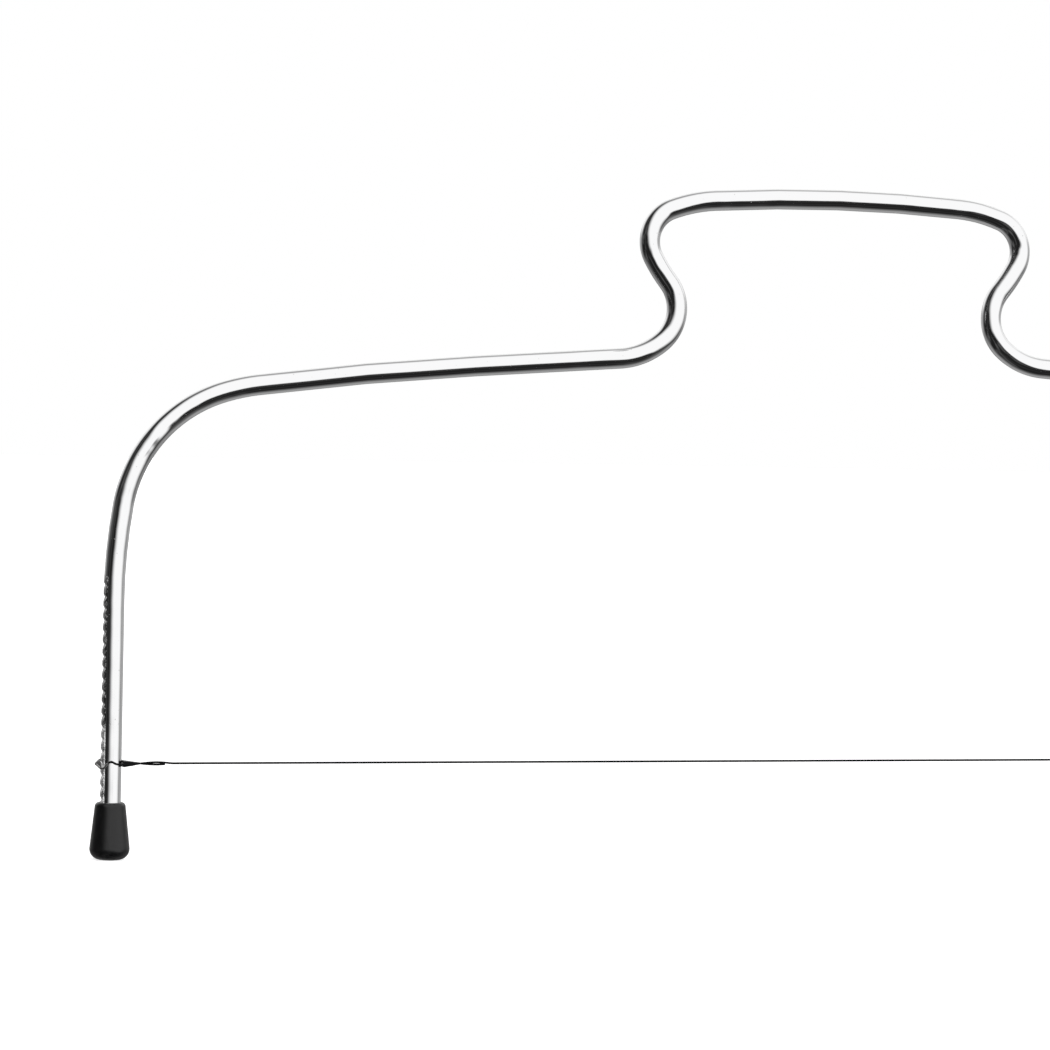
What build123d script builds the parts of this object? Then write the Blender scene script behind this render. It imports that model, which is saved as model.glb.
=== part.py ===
from build123d import *
import os
from math import acos, ceil, cos, pi, sin, sqrt, tan

# A cake leveler. A springy round rod is bent to a low bow with a hand hold in
# the middle. A thin cutting wire spans its two legs. Each end of the wire is
# looped round a leg and hooks into one of the notches down its outer flank.
# Two push-on caps make the feet.
# Millimetres. +X runs along the wire, +Y away from the user, +Z up. The origin
# is on the table, midway between the feet.

# Frame rod
rod_diameter = 5.0
rod_end_chamfer = 0.4
leg_spacing = 361.0
handle_height = 163.0

# Bends of half the frame, in order from the middle of the hand bar out to the
# leg. A positive angle turns the rod down and in, towards the leg.
bar_radius = 440.0
bar_angle = 4.2
bar_end_radius = 39.5
bar_end_angle = 16.8
corner_radius = 8.5
corner_angle = 98.0
throat_radius = 39.5
throat_angle = 10.2
neck_radius = 10.6
neck_angle = -88.7
neck_out_radius = 18.5
neck_out_angle = -36.3
shoulder_bow_radius = 810.0
shoulder_bow_angle = 3.8
shoulder_lead_radius = 49.5
shoulder_lead_angle = 10.7
shoulder_radius = 34.5
leg_ease_radius = 139.0
leg_ease_angle = 9.4
leg_turn = 90.0

# Notches down the outer flank of each leg
notch_count = 19
notch_pitch = 2.84
first_notch_height = 14.4
notch_depth = 0.6
notch_upper_flank = 0.9
notch_lower_flank = 1.25
notch_root_radius = 0.3

# Feet. The bottom diameter is where the sides would meet the table unrounded.
foot_height = 13.7
foot_top_diameter = 7.15
foot_bottom_diameter = 10.2
foot_top_round = 1.0
foot_bottom_round = 2.6
foot_floor = 2.4
foot_bore_clearance = 0.05

# Cutting wire
wire_diameter = 0.5
wire_notch = 3
loop_clearance = 0.2
hook_reach = 3.75
hook_tip_radius = 0.35
twist_pitch = 15.4
twist_length = 6.1
twist_start = 6.9
strand_gap = 0.04
tail_ease = 2.2

# The solder that fills the loop's point, and its neck between the leg and the twist
point_thickness = 0.3
neck_length = 3.9
neck_near_width = 4.4
neck_far_width = 0.7
neck_near_height = 1.45
neck_far_height = 0.5

# Heights of the loop above or below the wire's own line, from the twist round
# the front of the leg to the hook's tip, and on round the back
front_wedge_drop = 0.3
front_entry_rise = 0.05
front_rise = 0.55
front_hook_drop = 1.0
tip_drop = 0.05
back_hook_rise = 0.8
back_rise = 0.75
back_entry_rise = 0.5
back_wedge_rise = 0.3

# One length by which the notch cutter runs past the rod
overrun = 1.0

rod_radius = rod_diameter / 2
wire_radius = wire_diameter / 2
wire_height = first_notch_height + wire_notch * notch_pitch
strand_offset = wire_radius + strand_gap / 2
loop_radius = rod_radius + loop_clearance + wire_radius
hook_tip = Vector(-hook_reach, 0, -tip_drop)
wire_end_length = twist_start + twist_length + tail_ease

# Two ways are parallel when they turn by less than this: a pure number.
flat_turn = 1e-9


def lay_out(steps, start, heading):
    """Edges in the XZ plane, end to end: (length,) is a straight, (radius, angle) a bend."""
    edges = []
    point = start
    for step in steps:
        if len(step) == 1:
            edge = Line(point, point + heading * step[0])
        else:
            edge = JernArc(point, heading, *step)
        edges.append(edge)
        point = edge @ 1
        heading = edge % 1
    return edges


def half_frame_edges():
    """The rod's axis from the middle of the hand bar down to the left leg's end."""
    hand_hold = [
        (bar_radius, bar_angle),
        (bar_end_radius, bar_end_angle),
        (corner_radius, corner_angle),
        (throat_radius, throat_angle),
        (neck_radius, neck_angle),
        (neck_out_radius, neck_out_angle),
    ]
    turned = sum(angle for radius, angle in hand_hold)
    turned += shoulder_bow_angle + shoulder_lead_angle + leg_ease_angle
    shoulder = [
        (shoulder_bow_radius, shoulder_bow_angle),
        (shoulder_lead_radius, shoulder_lead_angle),
        (shoulder_radius, leg_turn - turned),
        (leg_ease_radius, leg_ease_angle),
    ]
    # The two straights follow from the leg spacing and the handle's height.
    start = Vector(0, handle_height)
    outward = Vector(-1, 0)
    bends = lay_out(hand_hold + shoulder, start, outward)
    slope = bends[len(hand_hold) - 1] % 1
    end = bends[-1] @ 1
    shoulder_run = (end.X + leg_spacing / 2) / -slope.X
    leg_run = end.Y + shoulder_run * slope.Y - foot_floor
    steps = hand_hold + [(shoulder_run,)] + shoulder + [(leg_run,)]
    return lay_out(steps, start, outward)


def notch_cutter(height):
    """One saw-like notch across the left leg's outer flank, run on past the rod's skin."""
    reach = notch_depth + overrun
    root = Vector(notch_depth - rod_radius, 0)
    upper_mouth = root + Vector(-reach, notch_upper_flank * reach / notch_depth)
    lower_mouth = root + Vector(-reach, -notch_lower_flank * reach / notch_depth)
    profile = make_face(Polyline(root, upper_mouth, lower_mouth, close=True))
    profile = fillet(profile.vertices().sort_by_distance(root)[0], notch_root_radius)
    cutter = extrude(Plane.XZ * profile, rod_diameter, both=True)
    return Pos(-leg_spacing / 2, 0, height) * cutter


def make_frame_rod():
    """The bent and notched rod."""
    half = Plane.XZ * Curve(half_frame_edges())
    edges = half.edges() + mirror(half, Plane.YZ).edges()
    axis = Wire(edges)
    section = Plane(origin=axis @ 0, z_dir=axis % 0) * Circle(rod_radius)
    rod = sweep(section, path=axis)
    ends = rod.faces().filter_by(GeomType.PLANE).sort_by(Axis.Z)[:2]
    rod = chamfer(ends.edges(), rod_end_chamfer)
    cutters = [notch_cutter(first_notch_height + i * notch_pitch) for i in range(notch_count)]
    cutters += [mirror(cutter, Plane.YZ) for cutter in cutters]
    return rod - cutters


def make_foot(side):
    """A push-on cap, widest near the table, with a blind bore for the leg's end."""
    bottom_corner = Vector(foot_bottom_diameter / 2, 0)
    top_corner = Vector(foot_top_diameter / 2, foot_height)
    top_centre = Vector(0, foot_height)
    profile = make_face(Polyline((0, 0), bottom_corner, top_corner, top_centre, close=True))
    profile = fillet(profile.vertices().sort_by_distance(top_corner)[0], foot_top_round)
    profile = fillet(profile.vertices().sort_by_distance(bottom_corner)[0], foot_bottom_round)
    cap = revolve(Plane.XZ * profile, Axis.Z)
    bore = Pos(0, 0, foot_floor) * Cylinder(
        rod_radius + foot_bore_clearance,
        foot_height,
        align=(Align.CENTER, Align.CENTER, Align.MIN),
    )
    return Pos(side * leg_spacing / 2, 0, 0) * (cap - bore)


def biarc(start, end):
    """Two tangent arcs between stations, each a point on the wire and its way there."""
    start_point, start_way = start
    end_point, end_way = end
    chord = end_point - start_point
    along = chord.dot(start_way + end_way)
    turn = 2 * (1 - start_way.dot(end_way))
    if turn < flat_turn:
        reach = chord.dot(chord) / (2 * along)
    else:
        reach = (sqrt(along**2 + turn * chord.dot(chord)) - along) / turn
    leave = start_point + start_way * reach
    arrive = end_point - end_way * reach
    middle = (leave + arrive) / 2
    return [
        TangentArc(start_point, middle, tangent=start_way),
        TangentArc(middle, end_point, tangent=(arrive - leave).normalized()),
    ]


def turned_back(stations):
    """The same stations passed the other way."""
    return [(point, -way) for point, way in reversed(stations)]


def twist_stations(phase_at_leg):
    """One strand of the twist, from its far end in towards the leg."""
    quarter_turns = ceil(twist_length / (twist_pitch / 4))
    steepness = 2 * pi * strand_offset / twist_pitch
    stations = []
    for i in range(quarter_turns, -1, -1):
        along = twist_length * i / quarter_turns
        phase = phase_at_leg - 2 * pi * along / twist_pitch
        point = Vector(twist_start + along, strand_offset * cos(phase), strand_offset * sin(phase))
        way = Vector(-1, -steepness * sin(phase), steepness * cos(phase))
        stations.append((point, way.normalized()))
    return stations


def side_stations(side, heights):
    """Half of the loop, from the twist round one side of the leg to its hook.

    side is -1 for the front strand and 1 for the back one. heights are those of
    the wedge beside the twist, the entry on to the leg, its middle and the hook.
    """
    pinch = Vector(twist_start, side * strand_offset, 0)
    entry_angle = acos(loop_radius / pinch.length) + acos(twist_start / pinch.length)
    hook_angle = pi - acos(loop_radius / hook_reach)
    angles = [entry_angle, (entry_angle + hook_angle) / 2, hook_angle]
    ring = [Vector(loop_radius * cos(a), side * loop_radius * sin(a), 0) for a in angles]
    plan = [pinch, (pinch + ring[0]) / 2] + ring + [hook_tip]
    levels = [0] + heights + [hook_tip.Z]
    ways = [(ring[0] - pinch).normalized()]
    ways += [Vector(-sin(a), side * cos(a), 0) for a in angles]
    stations = []
    for i, way in enumerate(ways, start=1):
        run = (plan[i] - plan[i - 1]).length + (plan[i + 1] - plan[i]).length
        slope = (levels[i + 1] - levels[i - 1]) / run
        point = plan[i] + Vector(0, 0, levels[i])
        stations.append((point, (way + Vector(0, 0, slope)).normalized()))
    return stations


def hook_stations(front_end, back_start):
    """Where the bend at the hook's tip starts and ends, between the loop's two sides."""
    to_front = (front_end[0] - hook_tip).normalized()
    to_back = (back_start[0] - hook_tip).normalized()
    half_angle = acos(to_front.dot(to_back)) / 2
    setback = hook_tip_radius / tan(half_angle)
    return [(hook_tip + to_front * setback, -to_front), (hook_tip + to_back * setback, to_back)]


def make_point():
    """The solder web between the hook's two strands, cut back clear of the leg."""
    angle = pi - acos(loop_radius / hook_reach)
    across = Vector(0, loop_radius * sin(angle), 0)
    behind = Vector(loop_radius * cos(angle), 0, 0)
    front = behind - across - Vector(0, 0, front_hook_drop)
    back = behind + across + Vector(0, 0, back_hook_rise)
    web = extrude(make_face(Polyline(hook_tip, front, back, close=True)), point_thickness / 2, both=True)
    return web - Cylinder(rod_radius + loop_clearance, 2 * loop_radius)


def make_neck():
    """The tapered solder neck that binds the strands between the leg and the twist."""
    near = rod_radius + loop_clearance
    near_end = Plane.YZ.offset(near) * Rectangle(neck_near_width, neck_near_height)
    far_end = Plane.YZ.offset(near + neck_length) * Rectangle(neck_far_width, neck_far_height)
    return loft([near_end, far_end])


def make_wire_end(side):
    """A looped, twisted and soldered wire end about one leg: -1 for the left, 1 for the right."""
    front_heights = [-front_wedge_drop, front_entry_rise, front_rise, -front_hook_drop]
    back_heights = [back_wedge_rise, back_entry_rise, back_rise, back_hook_rise]
    span_end = (Vector(wire_end_length, 0, 0), Vector(-1, 0, 0))
    front = twist_stations(pi) + side_stations(-1, front_heights)
    back = turned_back(twist_stations(0) + side_stations(1, back_heights))
    stations = [span_end] + front + hook_stations(front[-1], back[0]) + back
    edges = []
    for start, end in zip(stations, stations[1:]):
        edges += biarc(start, end)
    line = Wire(edges)
    section = Plane(origin=line @ 0, z_dir=line % 0) * Circle(wire_radius)
    wire_end = sweep(section, path=line) + make_neck() + make_point()
    turn = Rot(0, 0, 180) if side > 0 else Rot(0, 0, 0)
    return Pos(side * leg_spacing / 2, 0, wire_height) * turn * wire_end


def make_cutting_wire():
    """The straight span between the two wire ends."""
    span = leg_spacing - 2 * wire_end_length
    return Pos(0, 0, wire_height) * Rot(0, 90, 0) * Cylinder(wire_radius, span)


pieces = {
    "frame_rod": make_frame_rod(),
    "left_foot": make_foot(-1),
    "right_foot": make_foot(1),
    "left_wire_loop": make_wire_end(-1),
    "cutting_wire": make_cutting_wire(),
    "right_wire_loop": make_wire_end(1),
}

os.makedirs("parts", exist_ok=True)
for name, piece in pieces.items():
    export_step(piece, f"parts/{name}.step")
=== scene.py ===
from cmath import exp, phase
from math import acos, atan, ceil, copysign, cos, hypot, radians, sin, sqrt, tan

import bmesh
import bpy
from bpy.props import FloatProperty, FloatVectorProperty, IntProperty, PointerProperty
from mathutils import Matrix, Vector


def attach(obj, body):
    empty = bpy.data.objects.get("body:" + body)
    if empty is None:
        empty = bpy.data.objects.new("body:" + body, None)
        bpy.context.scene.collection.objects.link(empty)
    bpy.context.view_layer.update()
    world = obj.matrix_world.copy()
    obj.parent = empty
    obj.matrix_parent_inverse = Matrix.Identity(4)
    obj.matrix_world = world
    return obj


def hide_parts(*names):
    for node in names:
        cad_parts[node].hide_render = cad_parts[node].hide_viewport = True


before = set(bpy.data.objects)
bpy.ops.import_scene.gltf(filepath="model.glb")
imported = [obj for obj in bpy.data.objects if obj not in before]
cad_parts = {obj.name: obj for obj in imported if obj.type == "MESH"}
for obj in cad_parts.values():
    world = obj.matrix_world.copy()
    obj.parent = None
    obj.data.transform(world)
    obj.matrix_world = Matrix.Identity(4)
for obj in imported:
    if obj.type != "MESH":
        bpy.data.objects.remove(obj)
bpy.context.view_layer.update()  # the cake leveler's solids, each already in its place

bl_info = {
    "name": "Cake Leveler",
    "version": (1, 0, 0),
    "blender": (4, 5, 0),
    "location": "View3D > Sidebar > Cake Leveler",
    "description": "Finishes a cake leveler's rod, feet and wire, and sets a plain studio round them",
    "category": "Object",
}

MILLIMETRE = 0.001
LEG_TURN = radians(90)

# Bends of half the rod, in order from the middle of the hand bar out to the leg,
# each a radius in millimetres and an angle in degrees. A positive angle turns
# the rod down and in, towards the leg.
HAND_HOLD_BENDS = (
    (440.0, 4.2),
    (39.5, 16.8),
    (8.5, 98.0),
    (39.5, 10.2),
    (10.6, -88.7),
    (18.5, -36.3),
)
SHOULDER_BOW_BENDS = ((810.0, 3.8), (49.5, 10.7))
SHOULDER_RADIUS = 34.5
LEG_EASE_BEND = (139.0, 9.4)

# How finely the rod is drawn
ROD_SIDES = 72
BEND_STEP = radians(2.5)
ROOT_SEGMENTS = 4
RIM_SEGMENTS = 2
RIM_ANGLE = radians(18)
SHARP_ANGLE = 2 * RIM_ANGLE
DROP_STEPS = 16
SCREEN_STEPS = 4

# Points this close together are one point, and so are two at the mirror's middle
SAME_POINT = 1e-7
SAME_MIRROR_POINT = 1e-6

# How much worse it counts to lie past a step's end than to lie off its middle
PAST_END_WEIGHT = 4

# A bend this tight shows the most ripples, which fade out over the length beside it
TIGHT_RADIUS = 0.035
RIPPLE_FADE = 0.008

# Where the rod's finish changes, from one place to the next: across the rod, where
# less than nought is its outer side, and up the leg, where the rubbed part's end wanders
NOTCHED_SIDE = (-0.0021, -0.0017)
NOTCHES_END = (0.0665, 0.0685)
RUBBED_END = (0.029, 0.035)
RUBBED_WANDER = 0.006
PIT_COLOUR = (0.4, 0.39, 0.38)

# How high the scuffs reach up a foot
SCUFFS_END = (0.0002, 0.0024)

# Where the wire is rubbed: outward from the leg's middle, with an edge that wanders;
# and painted light over it: the rubbed grey is whole at the front and fades to 0.3 of it at the back
HOOK_START = (0.0009, 0.0017)
HOOK_WANDER = 0.0012
FRONT_LIGHT_END = (-0.0008, 0.0004)

CAMERA_SENSOR = 36.0
CAMERA_NEAR = 0.05
FLOOR_GLOW = 0.72

# Ways out from the object to what hangs in the studio, as azimuth and elevation
FRONT_SCREEN = (radians(-20), radians(9.5))
OPENING = (radians(29), radians(39))
OPENING_SIDE = (radians(75), 0.0)
POST = (radians(160), 0.0)

# How bright the screens are, where white is one
DARK_LEVEL = 0.014
SHAPES_LEVEL = 0.075
GREY_LEVEL = 0.34


class Value:
    """A number in a node tree, so that shader maths reads as plain Python."""

    def __init__(self, nodes, socket):
        self.nodes = nodes
        self.socket = socket

    def maths(self, operation, *numbers):
        inputs = dict(enumerate(numbers))
        return self.nodes.add("ShaderNodeMath", {"operation": operation}, inputs)

    def __add__(self, other):
        return self.maths("ADD", self, other)

    def __sub__(self, other):
        return self.maths("SUBTRACT", self, other)

    def __rsub__(self, other):
        return self.maths("SUBTRACT", other, self)

    def __mul__(self, other):
        return self.maths("MULTIPLY", self, other)

    __radd__ = __add__
    __rmul__ = __mul__

    def absolute(self):
        return self.maths("ABSOLUTE", self)

    def largest(self, other):
        return self.maths("MAXIMUM", self, other)

    def smallest(self, other):
        return self.maths("MINIMUM", self, other)

    def rise(self, low, high):
        """Nought below low and one above high, with a soft step between."""
        limits = {"Value": self, "From Min": low, "From Max": high}
        return self.nodes.add("ShaderNodeMapRange", {"interpolation_type": "SMOOTHSTEP"}, limits)

    def fall(self, low, high):
        """One below low and nought above high, with a soft step between."""
        return 1 - self.rise(low, high)


class Nodes:
    """The nodes of one material or world."""

    def __init__(self, owner):
        owner.use_nodes = True
        self.tree = owner.node_tree
        self.tree.nodes.clear()

    def add(self, kind, settings=None, inputs=None, output=0):
        """Adds a node, sets it up, fills or links its sockets and returns one output."""
        node = self.tree.nodes.new(kind)
        for name, value in (settings or {}).items():
            setattr(node, name, value)
        for name, value in (inputs or {}).items():
            if isinstance(value, Value):
                self.tree.links.new(value.socket, node.inputs[name])
            else:
                node.inputs[name].default_value = value
        if not node.outputs:
            return node
        return Value(self, node.outputs[output])

    def mix_colour(self, first, second, factor):
        """The first colour where factor is nought, the second where it is one."""
        inputs = {0: factor, 6: first, 7: second}
        return self.add("ShaderNodeMix", {"data_type": "RGBA"}, inputs, output=2)

    def object_place(self):
        return self.add("ShaderNodeTexCoord", output=3)

    def attribute(self, name, output):
        return self.add("ShaderNodeAttribute", {"attribute_name": name}, output=output)

    def stretch(self, place, scale):
        """A place with each of its axes scaled."""
        inputs = {"Vector": place, "Scale": scale}
        return self.add("ShaderNodeMapping", {"vector_type": "POINT"}, inputs)

    def axis(self, place, index):
        return self.add("ShaderNodeSeparateXYZ", None, {0: place}, output=index)

    def clouds(self, place, size, detail=2.0, roughness=0.5):
        """Soft noise from nought to one, with patches about as large as size."""
        inputs = {"Vector": place, "Scale": 1 / size, "Detail": detail, "Roughness": roughness}
        return self.add("ShaderNodeTexNoise", None, inputs)

    def cells(self, place, size):
        """Distance from the middle of the nearest of many scattered cells, in cell sizes."""
        inputs = {"Vector": place, "Scale": 1 / size, "Randomness": 1.0}
        return self.add("ShaderNodeTexVoronoi", {"feature": "F1"}, inputs)

    def bump(self, height, distance, strength=1.0, below=None):
        """Surface relief, height times distance high, laid over what is below it."""
        inputs = {"Height": height, "Distance": distance, "Strength": strength}
        if below:
            inputs["Normal"] = below
        return self.add("ShaderNodeBump", None, inputs)

    def surface(self, **sockets):
        """Ends the material in one Principled shader with these sockets."""
        inputs = {name.replace("_", " "): value for name, value in sockets.items()}
        shader = self.add("ShaderNodeBsdfPrincipled", None, inputs)
        self.add("ShaderNodeOutputMaterial", None, {"Surface": shader})


def new_material(name):
    material = bpy.data.materials.new(name)
    return material, Nodes(material)


class RodSettings(bpy.types.PropertyGroup):
    diameter: FloatProperty(
        name="Rod Diameter",
        description="Diameter of the frame's round rod",
        default=0.005,
        unit="LENGTH",
    )
    leg_spacing: FloatProperty(
        name="Leg Spacing",
        description="Distance between the middles of the two legs",
        default=0.361,
        unit="LENGTH",
    )
    handle_height: FloatProperty(
        name="Handle Height",
        description="Height of the middle of the rod at the hand bar's middle",
        default=0.163,
        unit="LENGTH",
    )
    end_height: FloatProperty(
        name="Rod End Height",
        description="Height of the rod's ends inside the feet",
        default=0.0024,
        unit="LENGTH",
    )
    end_chamfer: FloatProperty(
        name="Rod End Chamfer",
        description="Size of the chamfer round the rod's ends",
        default=0.0004,
        unit="LENGTH",
    )
    notch_count: IntProperty(
        name="Notches",
        description="Number of notches down each leg",
        default=19,
    )
    notch_pitch: FloatProperty(
        name="Notch Pitch",
        description="Distance from one notch to the next",
        default=0.00284,
        unit="LENGTH",
    )
    first_notch_height: FloatProperty(
        name="First Notch Height",
        description="Height of the lowest notch's root",
        default=0.0144,
        unit="LENGTH",
    )
    notch_depth: FloatProperty(
        name="Notch Depth",
        description="Depth of a notch below the rod's skin",
        default=0.0006,
        unit="LENGTH",
    )
    notch_upper_flank: FloatProperty(
        name="Notch Upper Flank",
        description="Height of a notch above its root",
        default=0.0009,
        unit="LENGTH",
    )
    notch_lower_flank: FloatProperty(
        name="Notch Lower Flank",
        description="Height of a notch below its root",
        default=0.00125,
        unit="LENGTH",
    )
    notch_root_radius: FloatProperty(
        name="Notch Root Radius",
        description="Radius at the bottom of a notch",
        default=0.0003,
        unit="LENGTH",
    )
    rim_round: FloatProperty(
        name="Notch Rim Round",
        description="Width of the worn round along a notch's rim",
        default=0.00008,
        unit="LENGTH",
    )
    plate_colour: FloatVectorProperty(
        name="Plate Colour",
        description="Colour of the bright plating",
        default=(0.95, 0.95, 0.955),
        subtype="COLOR",
        min=0.0,
        max=1.0,
    )
    cut_colour: FloatVectorProperty(
        name="Notch Colour",
        description="Colour of the thin, dull plating in the notches",
        default=(0.2, 0.198, 0.195),
        subtype="COLOR",
        min=0.0,
        max=1.0,
    )
    rubbed_colour: FloatVectorProperty(
        name="Rubbed Notch Colour",
        description="Colour of the lower notches, which the wire has rubbed bright",
        default=(0.88, 0.875, 0.87),
        subtype="COLOR",
        min=0.0,
        max=1.0,
    )


class FootSettings(bpy.types.PropertyGroup):
    vinyl_colour: FloatVectorProperty(
        name="Vinyl Colour",
        description="Colour of the push-on feet",
        default=(0.0075, 0.0075, 0.008),
        subtype="COLOR",
        min=0.0,
        max=1.0,
    )
    scuff_colour: FloatVectorProperty(
        name="Scuff Colour",
        description="Colour of the feet where the table has rubbed them",
        default=(0.035, 0.034, 0.033),
        subtype="COLOR",
        min=0.0,
        max=1.0,
    )


class WireSettings(bpy.types.PropertyGroup):
    dark_colour: FloatVectorProperty(
        name="Wire Colour",
        description="Colour of the dark spring steel",
        default=(0.012, 0.012, 0.0125),
        subtype="COLOR",
        min=0.0,
        max=1.0,
    )
    rubbed_colour: FloatVectorProperty(
        name="Rubbed Colour",
        description="Colour of the wire where the legs have rubbed it bright",
        default=(0.6, 0.6, 0.595),
        subtype="COLOR",
        min=0.0,
        max=1.0,
    )
    height: FloatProperty(
        name="Wire Height",
        description="Height of the wire at rest",
        default=0.02292,
        unit="LENGTH",
    )
    loop_radius: FloatProperty(
        name="Loop Radius",
        description="Radius of the strands' middle round the leg",
        default=0.00295,
        unit="LENGTH",
    )
    clear_radius: FloatProperty(
        name="Clear Radius",
        description="Radius round the leg's middle that the solder keeps clear",
        default=0.0027,
        unit="LENGTH",
    )
    hook_reach: FloatProperty(
        name="Hook Reach",
        description="Distance from the leg's middle to the hook's tip",
        default=0.00375,
        unit="LENGTH",
    )
    hook_drop: FloatProperty(
        name="Hook Drop",
        description="How far the front strand falls from the hook's tip",
        default=0.001,
        unit="LENGTH",
    )
    hook_rise: FloatProperty(
        name="Hook Rise",
        description="How far the back strand rises from the hook's tip",
        default=0.0008,
        unit="LENGTH",
    )
    solder_height: FloatProperty(
        name="Solder Height",
        description="Height of the solder where it faces the leg",
        default=0.00155,
        unit="LENGTH",
    )
    solder_edge: FloatProperty(
        name="Solder Edge",
        description="Height of the solder along the strands",
        default=0.0004,
        unit="LENGTH",
    )


class StageSettings(bpy.types.PropertyGroup):
    camera_place: FloatVectorProperty(
        name="Camera Place",
        description="Where the camera stands",
        default=(-0.3415, -0.9425, 0.111),
        subtype="TRANSLATION",
        unit="LENGTH",
    )
    camera_turn: FloatVectorProperty(
        name="Camera Turn",
        description="Which way the camera points, as angles about X, Y and Z",
        default=(radians(88.245), radians(-1.198), radians(-15.509)),
        subtype="EULER",
        unit="ROTATION",
    )
    camera_lens: FloatProperty(
        name="Lens",
        description="Focal length, for a sensor 36 mm wide",
        default=137.14,
        subtype="DISTANCE_CAMERA",
    )
    floor_size: FloatProperty(
        name="Floor Size",
        description="Side of the square floor",
        default=12.0,
        unit="LENGTH",
    )
    floor_colour: FloatVectorProperty(
        name="Floor Colour",
        description="Colour of the floor",
        default=(0.9, 0.9, 0.9),
        subtype="COLOR",
        min=0.0,
        max=1.0,
    )
    screen_distance: FloatProperty(
        name="Screen Distance",
        description="Distance of the screens that the bright plating shows",
        default=40.0,
        unit="LENGTH",
    )


def rod_steps(settings):
    """Half the rod as straights, (length, 0), and bends, (radius, angle), bar first."""
    def in_metres(bends):
        return [(radius * MILLIMETRE, radians(angle)) for radius, angle in bends]

    hand_hold = in_metres(HAND_HOLD_BENDS)
    bow = in_metres(SHOULDER_BOW_BENDS)
    ease = in_metres([LEG_EASE_BEND])
    turned = sum(angle for radius, angle in hand_hold + bow + ease)
    shoulder = bow + [(SHOULDER_RADIUS * MILLIMETRE, LEG_TURN - turned)] + ease
    # The two straights follow from the leg spacing and the handle's height.
    slope = exp(1j * sum(angle for radius, angle in hand_hold))
    slope = complex(-slope.real, -slope.imag)
    end = walk_rod(settings, hand_hold + shoulder)[-1][0]
    shoulder_run = (end.real + settings.leg_spacing / 2) / -slope.real
    leg_run = end.imag + shoulder_run * slope.imag - settings.end_height
    return hand_hold + [(shoulder_run, 0)] + shoulder + [(leg_run, 0)]


def walk_rod(settings, steps):
    """Where each step starts and its heading, and where the last ends, as x + zj."""
    point = complex(0, settings.handle_height)
    heading = complex(-1, 0)
    stations = [(point, heading)]
    for size, angle in steps:
        if angle:
            centre = point + heading * 1j * copysign(size, angle)
            point = centre + (point - centre) * exp(1j * angle)
            heading = heading * exp(1j * angle)
        else:
            point = point + heading * size
        stations.append((point, heading))
    return stations


def tightness(along, steps):
    """How bent the rod is round a distance along it: nought if straight, one if tight."""
    total = 0.0
    start = 0.0
    for size, angle in steps:
        end = start + (size * abs(angle) if angle else size)
        shared = min(end, along + RIPPLE_FADE) - max(start, along - RIPPLE_FADE)
        if angle and shared > 0:
            total += shared / (2 * RIPPLE_FADE) * min(1.0, TIGHT_RADIUS / size)
        start = end
    return total


def unbend(place, steps, stations):
    """Where a point of the rod's left half would be if the rod were straight.

    Of the place, the first number is how far it lies to the rod's inner side,
    the second stays as it is, and the third runs along the rod from the hand
    bar's middle.
    """
    flat = complex(place.x, place.z)
    along = 0.0
    best = None
    for (size, angle), (point, heading) in zip(steps, stations):
        if angle:
            side = copysign(1, angle)
            centre = point + heading * 1j * side * size
            spoke = flat - centre
            reach = phase(spoke / (point - centre)) * side
            offset = side * (size - abs(spoke))
            length = size * abs(angle)
            reach = reach * size
        else:
            local = (flat - point) / heading
            reach = local.real
            offset = local.imag
            length = size
        outside = max(0.0, -reach, reach - length)
        miss = abs(offset) + PAST_END_WEIGHT * outside
        if best is None or miss < best[0]:
            best = (miss, Vector((offset, place.y, along + reach)))
        along += length
    return best[1]


def bend_half_rod(settings, steps, stations):
    """A smooth tube along the left half of the rod, closed at the leg's end."""
    bm = bmesh.new()
    bmesh.ops.create_circle(bm, segments=ROD_SIDES, radius=settings.diameter / 2)
    bmesh.ops.rotate(bm, verts=bm.verts, matrix=Matrix.Rotation(radians(90), 3, "Y"))
    bmesh.ops.translate(bm, verts=bm.verts, vec=(0, 0, settings.handle_height))
    ring = bm.verts[:] + bm.edges[:]
    for (size, angle), (point, heading) in zip(steps, stations):
        if angle:
            centre = point + heading * 1j * copysign(size, angle)
            turned = bmesh.ops.spin(
                bm,
                geom=ring,
                cent=(centre.real, 0, centre.imag),
                axis=(0, -1, 0),
                angle=angle,
                steps=ceil(abs(angle) / BEND_STEP),
            )
            ring = turned["geom_last"]
        else:
            edges = [part for part in ring if isinstance(part, bmesh.types.BMEdge)]
            ring = bmesh.ops.extrude_edge_only(bm, edges=edges)["geom"]
            ring = [part for part in ring if not isinstance(part, bmesh.types.BMFace)]
            moved = [part for part in ring if isinstance(part, bmesh.types.BMVert)]
            run = heading * size
            bmesh.ops.translate(bm, verts=moved, vec=(run.real, 0, run.imag))
    rim = [part for part in ring if isinstance(part, bmesh.types.BMEdge)]
    bmesh.ops.contextual_create(bm, geom=rim)
    bmesh.ops.bevel(
        bm,
        geom=rim,
        offset=settings.end_chamfer,
        segments=1,
        affect="EDGES",
        profile=0.5,
        material=-1,
    )
    bmesh.ops.recalc_face_normals(bm, faces=bm.faces)
    return bm


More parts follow.
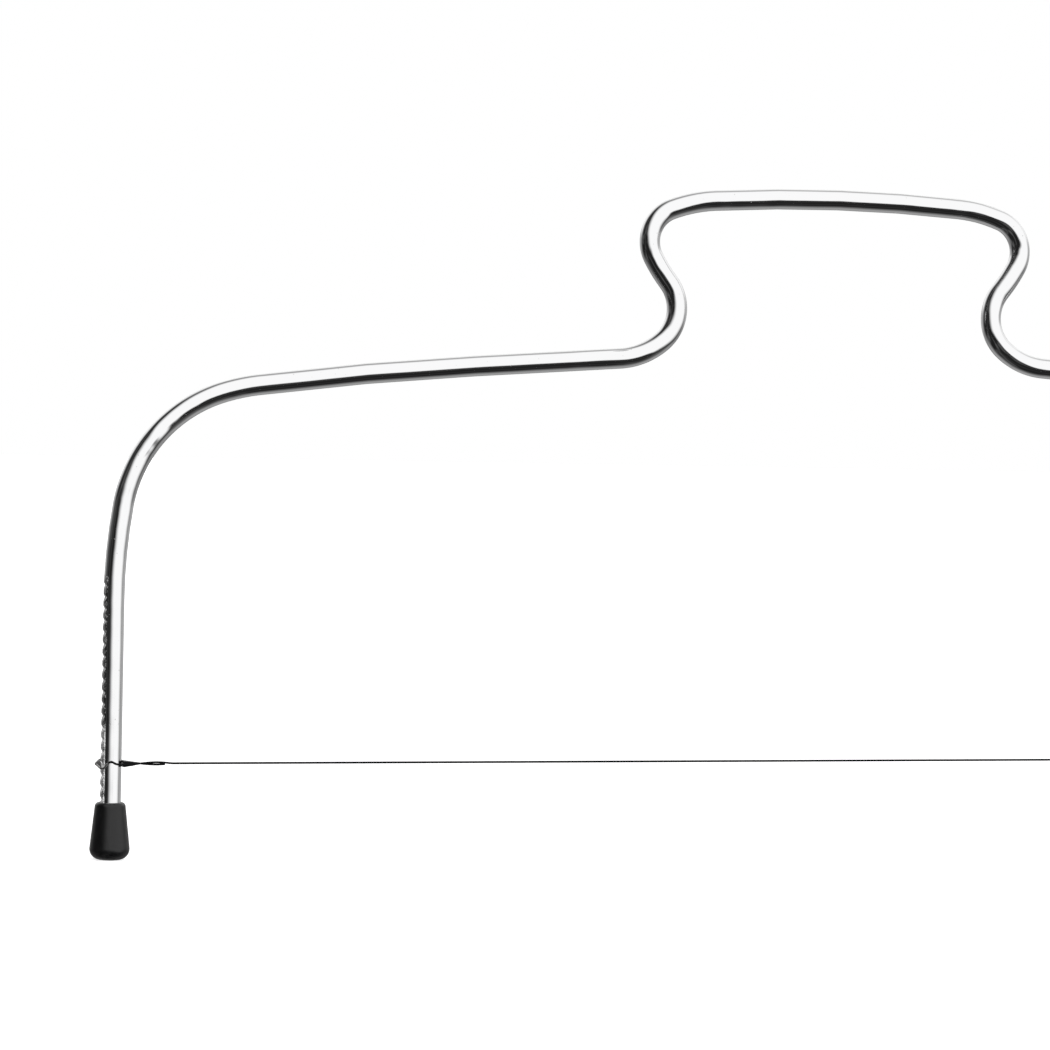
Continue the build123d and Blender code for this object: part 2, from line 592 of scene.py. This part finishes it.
def notch_cutters(settings):
    """Saw-like wedges, one for each notch down the left leg's outer flank."""
    bm = bmesh.new()
    overrun_share = 1.25
    root_x = -settings.leg_spacing / 2 - settings.diameter / 2 + settings.notch_depth
    mouth_x = root_x - settings.notch_depth * overrun_share
    back_y = settings.diameter
    height = settings.first_notch_height
    corners = (
        (root_x, back_y, height),
        (mouth_x, back_y, height + settings.notch_upper_flank * overrun_share),
        (mouth_x, back_y, height - settings.notch_lower_flank * overrun_share),
    )
    face = bm.faces.new([bm.verts.new(corner) for corner in corners])
    pulled = bmesh.ops.extrude_face_region(bm, geom=[face])["geom"]
    moved = [part for part in pulled if isinstance(part, bmesh.types.BMVert)]
    bmesh.ops.translate(bm, verts=moved, vec=(0, -2 * back_y, 0))
    root = [edge for edge in bm.edges if all(v.co.x > root_x - SAME_POINT for v in edge.verts)]
    half_angle = atan(settings.notch_upper_flank / settings.notch_depth)
    half_angle += atan(settings.notch_lower_flank / settings.notch_depth)
    half_angle /= 2
    bmesh.ops.bevel(
        bm,
        geom=root,
        offset=settings.notch_root_radius / tan(half_angle),
        segments=ROOT_SEGMENTS,
        affect="EDGES",
        profile=0.5,
        material=-1,
    )
    first = bm.verts[:] + bm.edges[:] + bm.faces[:]
    for i in range(1, settings.notch_count):
        copy = bmesh.ops.duplicate(bm, geom=first)["geom"]
        moved = [part for part in copy if isinstance(part, bmesh.types.BMVert)]
        bmesh.ops.translate(bm, verts=moved, vec=(0, 0, i * settings.notch_pitch))
    bmesh.ops.recalc_face_normals(bm, faces=bm.faces)
    return bm


def as_object(bm, name):
    mesh = bpy.data.meshes.new(name)
    bm.to_mesh(mesh)
    bm.free()
    piece = bpy.data.objects.new(name, mesh)
    bpy.context.scene.collection.objects.link(piece)
    return piece


def cut_notches(rod, settings):
    """Cuts the notches out of half a rod and returns what is left of it."""
    blank = as_object(rod, "rod_blank")
    cutters = as_object(notch_cutters(settings), "notch_cutters")
    cut = blank.modifiers.new("notches", "BOOLEAN")
    cut.operation = "DIFFERENCE"
    cut.solver = "EXACT"
    cut.object = cutters
    depsgraph = bpy.context.evaluated_depsgraph_get()
    mesh = bpy.data.meshes.new_from_object(blank.evaluated_get(depsgraph))
    bm = bmesh.new()
    bm.from_mesh(mesh)
    for piece in (blank, cutters):
        bpy.data.meshes.remove(piece.data)
    bpy.data.meshes.remove(mesh)
    return bm


def round_rims(bm, settings, steps, stations):
    """Rounds the rims of the notches and marks what the notches laid bare."""
    low = settings.first_notch_height - settings.notch_pitch
    top = low + settings.notch_pitch * (settings.notch_count + 1)
    cut = bm.verts.layers.float.new("cut")
    skin = settings.diameter / 2
    shallow = skin / 100

    def depth(place):
        """How far a point of the notched flank lies below the rod's skin, if it is there."""
        if not low < place.z < top:
            return None
        straight = unbend(place, steps, stations)
        return skin - hypot(straight.x, straight.y) if straight.x < 0 else None

    rims = []
    for edge in bm.edges:
        below = depth((edge.verts[0].co + edge.verts[1].co) / 2)
        if below is not None and below < shallow and len(edge.link_faces) == 2:
            if edge.calc_face_angle() > RIM_ANGLE:
                rims.append(edge)
    if not rims:
        raise RuntimeError("the notches have no rims to round")
    for vertex in bm.verts:
        below = depth(vertex.co)
        vertex[cut] = 1.0 if below is not None and below > shallow else 0.0
    bmesh.ops.bevel(
        bm,
        geom=rims,
        offset=settings.rim_round,
        segments=RIM_SEGMENTS,
        affect="EDGES",
        profile=0.5,
        material=-1,
        clamp_overlap=True,
    )


def solder_drop(settings, leg_spacing, side):
    """The solder that fills a hook between its strands: -1 for the left leg, 1 for the right."""
    bm = bmesh.new()
    leg = Vector((side * leg_spacing / 2, 0, settings.height))
    limit = acos(settings.loop_radius / settings.hook_reach)
    rings = []
    for i in range(DROP_STEPS + 1):
        share = 2 * i / DROP_STEPS - 1
        turn = share * limit
        rest = limit - abs(turn)
        along = 1 - tan(rest) / tan(limit)
        level = along * (settings.hook_rise if share > 0 else -settings.hook_drop)
        outward = Vector((cos(turn), -sin(turn), 0)) * side
        outer = leg + outward * settings.loop_radius / cos(rest)
        inner = leg + outward * settings.clear_radius
        outer.z += level
        inner.z += level * along * along
        edge = Vector((0, 0, settings.solder_edge / 2))
        face = edge + (Vector((0, 0, settings.solder_height / 2)) - edge) * sqrt(1 - share * share)
        places = (inner - face, outer - edge, outer + edge, inner + face)
        rings.append([bm.verts.new(place) for place in places])
    for start, end in zip(rings, rings[1:]):
        for j in range(4):
            bm.faces.new((start[j - 1], start[j], end[j], end[j - 1]))
    bm.faces.new(rings[0])
    bm.faces.new(rings[-1])
    bmesh.ops.recalc_face_normals(bm, faces=bm.faces)
    sharp = [edge for edge in bm.edges if edge.calc_face_angle() > SHARP_ANGLE]
    bmesh.ops.bevel(
        bm,
        geom=sharp,
        offset=settings.solder_edge / 5,
        segments=RIM_SEGMENTS,
        affect="EDGES",
        profile=0.5,
        material=-1,
        clamp_overlap=True,
    )
    for face in bm.faces:
        face.smooth = True
    return bm


def chrome_plate(settings):
    """Bright nickel and chrome over drawn wire: drawn lines, waves, pits and dull notches."""
    material, nodes = new_material("chrome_plate")
    straight = nodes.attribute("straight", "Vector")
    cut = nodes.attribute("cut", "Fac")
    bent = nodes.attribute("bent", "Fac")
    waves = nodes.clouds(nodes.stretch(straight, (0.6, 0.6, 1.0)), size=0.014, detail=1.0)
    ripples = nodes.clouds(nodes.stretch(straight, (0.7, 0.7, 1.0)), size=0.009, detail=1.0)
    lines = nodes.clouds(nodes.stretch(straight, (1.0, 1.0, 0.012)), size=0.00035, detail=3.0)
    haze = nodes.clouds(straight, size=0.009, detail=4.0, roughness=0.6)
    specks = nodes.cells(straight, size=0.0022)
    sizes = nodes.clouds(straight, size=0.006, detail=0.0)
    pits = (specks - sizes * 0.07).fall(0.0, 0.025)
    fingers = nodes.clouds(straight, size=0.022, detail=3.0, roughness=0.65).rise(0.56, 0.72)
    height = nodes.axis(nodes.object_place(), 2)
    flank = nodes.axis(straight, 0).fall(*NOTCHED_SIDE) * height.fall(*NOTCHES_END)
    blotches = nodes.clouds(straight, size=0.0008, detail=4.0, roughness=0.7)
    rubbed = (height + (blotches - 0.5) * RUBBED_WANDER).fall(*RUBBED_END)
    rubbed = (rubbed + blotches.rise(0.52, 0.66) * 0.4).smallest(1.0)
    dull = nodes.mix_colour((*settings.cut_colour, 1), (*settings.rubbed_colour, 1), rubbed)
    worn = cut.largest(flank * (0.35 + blotches * 0.9)).smallest(1.0)
    colour = nodes.mix_colour((*settings.plate_colour, 1), dull, worn)
    colour = nodes.mix_colour(colour, (*PIT_COLOUR, 1), pits * 0.5)
    roughness = 0.035 + haze * 0.05 + lines * 0.03 + fingers * 0.07 + worn * 0.2 + pits * 0.3
    relief = nodes.bump(waves, distance=0.0003)
    relief = nodes.bump((ripples - 0.5) * bent, distance=0.0006, below=relief)
    relief = nodes.bump(lines, distance=0.0000016, below=relief)
    relief = nodes.bump(1 - pits, distance=0.00001, below=relief)
    marks = nodes.clouds(nodes.stretch(straight, (1.0, 0.15, 1.0)), size=0.00022, detail=2.0)
    relief = nodes.bump(marks * worn, distance=0.00004, below=relief)
    facets = nodes.clouds(nodes.stretch(straight, (1.0, 1.0, 0.55)), size=0.0013, detail=1.5)
    facets = facets * worn * (0.15 + rubbed * 0.85)
    relief = nodes.bump(facets, distance=0.0009, below=relief)
    nodes.surface(Base_Color=colour, Metallic=1.0, Roughness=roughness, Normal=relief)
    return material


def black_vinyl(settings):
    """Soft moulded vinyl: a satin skin with fine grain, scuffed where it stands."""
    material, nodes = new_material("black_vinyl")
    place = nodes.object_place()
    height = nodes.axis(place, 2)
    grain = nodes.clouds(place, size=0.00028, detail=3.0, roughness=0.6)
    dimples = nodes.clouds(place, size=0.0022, detail=2.0)
    patches = nodes.clouds(place, size=0.0035, detail=4.0, roughness=0.7)
    low = height.fall(*SCUFFS_END)
    scuffs = low * patches.rise(0.42, 0.62)
    scratches = nodes.clouds(nodes.stretch(place, (0.35, 0.35, 3.0)), size=0.0012, detail=4.0)
    marks = scratches.rise(0.6, 0.68)
    colour = nodes.mix_colour(
        (*settings.vinyl_colour, 1), (*settings.scuff_colour, 1), scuffs * 0.8 + marks * 0.12
    )
    roughness = 0.25 + patches * 0.08 + scuffs * 0.3 + marks * 0.08
    relief = nodes.bump(dimples, distance=0.00005)
    relief = nodes.bump(grain, distance=0.0000035, below=relief)
    nodes.surface(Base_Color=colour, Roughness=roughness, Normal=relief)
    return material


def spring_steel(settings, leg_spacing):
    """Dark drawn spring steel, rubbed bright where it bears on the legs, with painted light that
    keeps the rubbed part lighter at the front than at the back.
    """
    material, nodes = new_material("spring_steel")
    place = nodes.object_place()
    outward = nodes.axis(place, 0).absolute() - leg_spacing / 2
    depth = nodes.axis(place, 1)
    patches = nodes.clouds(place, size=0.0009, detail=4.0, roughness=0.65)
    lines = nodes.clouds(nodes.stretch(place, (0.03, 1.0, 1.0)), size=0.00006, detail=2.0)
    rubbed = (outward + (patches - 0.5) * HOOK_WANDER).rise(*HOOK_START)
    # Painted light: the rubbed grey stays whole at the front and drops to 0.3 of it at the back.
    rubbed = rubbed * (0.3 + 0.7 * depth.fall(*FRONT_LIGHT_END))
    colour = nodes.mix_colour((*settings.dark_colour, 1), (*settings.rubbed_colour, 1), rubbed)
    roughness = 0.24 + patches * 0.16 + lines * 0.08
    relief = nodes.bump(lines, distance=0.000002)
    relief = nodes.bump(patches, distance=0.000006, below=relief)
    nodes.surface(Base_Color=colour, Metallic=1.0, Roughness=roughness, Normal=relief)
    return material


def dress(node, material):
    """Gives a solid of the frame its finish."""
    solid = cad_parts[node]
    for slot in solid.material_slots:
        slot.material = material


class CAKE_LEVELER_OT_frame_rod(bpy.types.Operator):
    """Bends the rod, cuts its notches and plates it"""

    bl_idname = "cake_leveler.frame_rod"
    bl_label = "Frame Rod"

    def execute(self, context):
        settings = context.scene.leveler_rod
        steps = rod_steps(settings)
        stations = walk_rod(settings, steps)
        bm = cut_notches(bend_half_rod(settings, steps, stations), settings)
        bmesh.ops.remove_doubles(bm, verts=bm.verts, dist=SAME_POINT)
        round_rims(bm, settings, steps, stations)
        straight = bm.verts.layers.float_vector.new("straight")
        bent = bm.verts.layers.float.new("bent")
        for vertex in bm.verts:
            vertex[straight] = unbend(vertex.co, steps, stations)
            vertex[bent] = tightness(vertex[straight].z, steps)
        half = bm.verts[:] + bm.edges[:] + bm.faces[:]
        bmesh.ops.mirror(bm, geom=half, matrix=Matrix(), merge_dist=SAME_MIRROR_POINT, axis="X")
        for vertex in bm.verts:
            if vertex.co.x > 0:
                vertex[straight] = vertex[straight] * Vector((1, 1, -1))
        bmesh.ops.recalc_face_normals(bm, faces=bm.faces)
        for face in bm.faces:
            face.smooth = True
        rod = as_object(bm, "bent_rod")
        rod.modifiers.new("even_normals", "WEIGHTED_NORMAL")
        rod.data.materials.append(chrome_plate(settings))
        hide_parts("frame_rod")
        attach(rod, "frame")
        return {"FINISHED"}


class CAKE_LEVELER_OT_feet(bpy.types.Operator):
    """Finishes the two push-on feet"""

    bl_idname = "cake_leveler.feet"
    bl_label = "Feet"

    def execute(self, context):
        material = black_vinyl(context.scene.leveler_feet)
        dress("left_foot", material)
        dress("right_foot", material)
        return {"FINISHED"}


class CAKE_LEVELER_OT_cutting_wire(bpy.types.Operator):
    """Finishes the cutting wire and its looped ends"""

    bl_idname = "cake_leveler.cutting_wire"
    bl_label = "Cutting Wire"

    def execute(self, context):
        scene = context.scene
        material = spring_steel(scene.leveler_wire, scene.leveler_rod.leg_spacing)
        for node in ("left_wire_loop", "cutting_wire", "right_wire_loop"):
            dress(node, material)
        for name, side, body in (("left", -1, "left_wire_end"), ("right", 1, "wire")):
            bm = solder_drop(scene.leveler_wire, scene.leveler_rod.leg_spacing, side)
            drop = as_object(bm, f"{name}_solder_drop")
            drop.modifiers.new("even_normals", "WEIGHTED_NORMAL")
            drop.data.materials.append(material)
            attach(drop, body)
        return {"FINISHED"}


def direction(azimuth, elevation):
    """A way out from the object: azimuth from the user's side round to the right."""
    level = cos(elevation)
    return Vector((sin(azimuth) * level, -cos(azimuth) * level, sin(elevation)))


class CAKE_LEVELER_OT_stage(bpy.types.Operator):
    """Makes the floor, the studio light and the camera"""

    bl_idname = "cake_leveler.stage"
    bl_label = "Stage"

    def execute(self, context):
        settings = context.scene.leveler_stage
        scene = context.scene
        camera = bpy.data.objects.new("photo_camera", bpy.data.cameras.new("photo_camera"))
        camera.data.lens = settings.camera_lens
        camera.data.sensor_width = CAMERA_SENSOR
        camera.location = settings.camera_place
        camera.rotation_euler = settings.camera_turn
        camera.data.clip_start = CAMERA_NEAR
        scene.collection.objects.link(camera)
        scene.camera = camera
        scene.view_settings.view_transform = "Standard"
        self.make_floor(settings)
        self.hang_screens(settings)
        self.light_world(scene)
        return {"FINISHED"}

    def make_floor(self, settings):
        """A pale floor that the camera sees as white, but for the object's shadow."""
        bpy.ops.mesh.primitive_plane_add(size=settings.floor_size)
        floor = bpy.context.object
        floor.name = "studio_floor"
        # The plating shows the far screens and not the floor.
        floor.visible_glossy = False
        material, nodes = new_material("studio_floor")
        seen = nodes.add("ShaderNodeLightPath", output="Is Camera Ray")
        for ray in ("Is Glossy Ray", "Is Transmission Ray"):
            seen = seen.largest(nodes.add("ShaderNodeLightPath", output=ray))
        diffuse = nodes.add("ShaderNodeBsdfDiffuse", None, {"Color": (*settings.floor_colour, 1)})
        glow = nodes.add("ShaderNodeEmission", None, {"Strength": seen * FLOOR_GLOW})
        both = nodes.add("ShaderNodeAddShader", None, {0: diffuse, 1: glow})
        nodes.add("ShaderNodeOutputMaterial", None, {"Surface": both})
        floor.data.materials.append(material)

    def hang_screens(self, settings):
        """Far screens, dark before the object and grey behind, open to the white at the right."""
        bm = bmesh.new()
        bmesh.ops.create_icosphere(bm, subdivisions=SCREEN_STEPS, radius=settings.screen_distance)
        bmesh.ops.reverse_faces(bm, faces=bm.faces)
        screens = as_object(bm, "studio_screens")
        screens.visible_camera = False
        material, nodes = new_material("studio_screens")
        place = nodes.object_place()
        place = nodes.add("ShaderNodeVectorMath", {"operation": "NORMALIZE"}, {0: place})
        axes = [nodes.axis(place, i) for i in range(3)]

        up = axes[2]

        def towards(azimuth, elevation):
            """One straight along a way out, nought square to it and less behind."""
            way = direction(azimuth, elevation)
            return axes[0] * way.x + axes[1] * way.y + up * way.z

        front = towards(*FRONT_SCREEN).rise(-0.695, 0.025)
        right = towards(*OPENING).rise(0.18, 0.64)
        beside = towards(*OPENING_SIDE).rise(0.5, 0.95)
        gap = right * (up + beside * 0.36).rise(-0.26, -0.08)
        shapes = nodes.clouds(nodes.stretch(place, (0.6, 0.6, 1.0)), size=0.32, detail=2.0)
        dark = (shapes.rise(0.42, 0.7) * SHAPES_LEVEL + DARK_LEVEL) * (1 - gap)
        sky = up.rise(0.06, 0.3) * up.fall(0.5, 0.75)
        table = up.rise(-0.6, -0.4) * up.fall(-0.24, -0.1)
        post = towards(*POST).rise(0.955, 0.985)
        grey = GREY_LEVEL + up.rise(-0.3, 0.3) * 0.2 + sky * 0.4 - table * 0.1
        grey = grey * (1 - post * 0.7)
        level = front * dark + (1 - front) * grey
        cloth = nodes.add("ShaderNodeEmission", None, {"Strength": level})
        clear = nodes.add("ShaderNodeBsdfTransparent")
        opening = nodes.add("ShaderNodeMixShader", None, {0: front * gap, 2: clear})
        both = nodes.add("ShaderNodeAddShader", None, {0: cloth, 1: opening})
        nodes.add("ShaderNodeOutputMaterial", None, {"Surface": both})
        screens.data.materials.append(material)

    def light_world(self, scene):
        """Plain white from all round, which the camera sees as the background."""
        world = bpy.data.worlds.new("studio")
        scene.world = world
        nodes = Nodes(world)
        white = nodes.add("ShaderNodeBackground", None, {"Color": (1, 1, 1, 1), "Strength": 1.0})
        nodes.add("ShaderNodeOutputWorld", None, {"Surface": white})


SETTINGS = {
    "leveler_rod": RodSettings,
    "leveler_feet": FootSettings,
    "leveler_wire": WireSettings,
    "leveler_stage": StageSettings,
}


class CAKE_LEVELER_PT_sidebar(bpy.types.Panel):
    """Lists the leveler's pieces and their settings"""

    bl_label = "Cake Leveler"
    bl_idname = "CAKE_LEVELER_PT_sidebar"
    bl_space_type = "VIEW_3D"
    bl_region_type = "UI"
    bl_category = "Cake Leveler"

    def draw(self, context):
        for operator in OPERATORS:
            self.layout.operator(operator.bl_idname)
        for group_name, group in SETTINGS.items():
            for name in group.__annotations__:
                self.layout.prop(getattr(context.scene, group_name), name)


OPERATORS = (
    CAKE_LEVELER_OT_frame_rod,
    CAKE_LEVELER_OT_feet,
    CAKE_LEVELER_OT_cutting_wire,
    CAKE_LEVELER_OT_stage,
)
CLASSES = (*SETTINGS.values(), *OPERATORS, CAKE_LEVELER_PT_sidebar)


def register():
    for item in CLASSES:
        bpy.utils.register_class(item)
    for group_name, group in SETTINGS.items():
        setattr(bpy.types.Scene, group_name, PointerProperty(type=group))


def unregister():
    for group_name in SETTINGS:
        delattr(bpy.types.Scene, group_name)
    for item in reversed(CLASSES):
        bpy.utils.unregister_class(item)


def main():
    register()
    bpy.ops.cake_leveler.frame_rod()
    bpy.ops.cake_leveler.feet()
    bpy.ops.cake_leveler.cutting_wire()
    bpy.ops.cake_leveler.stage()


if __name__ == "__main__":
    main()
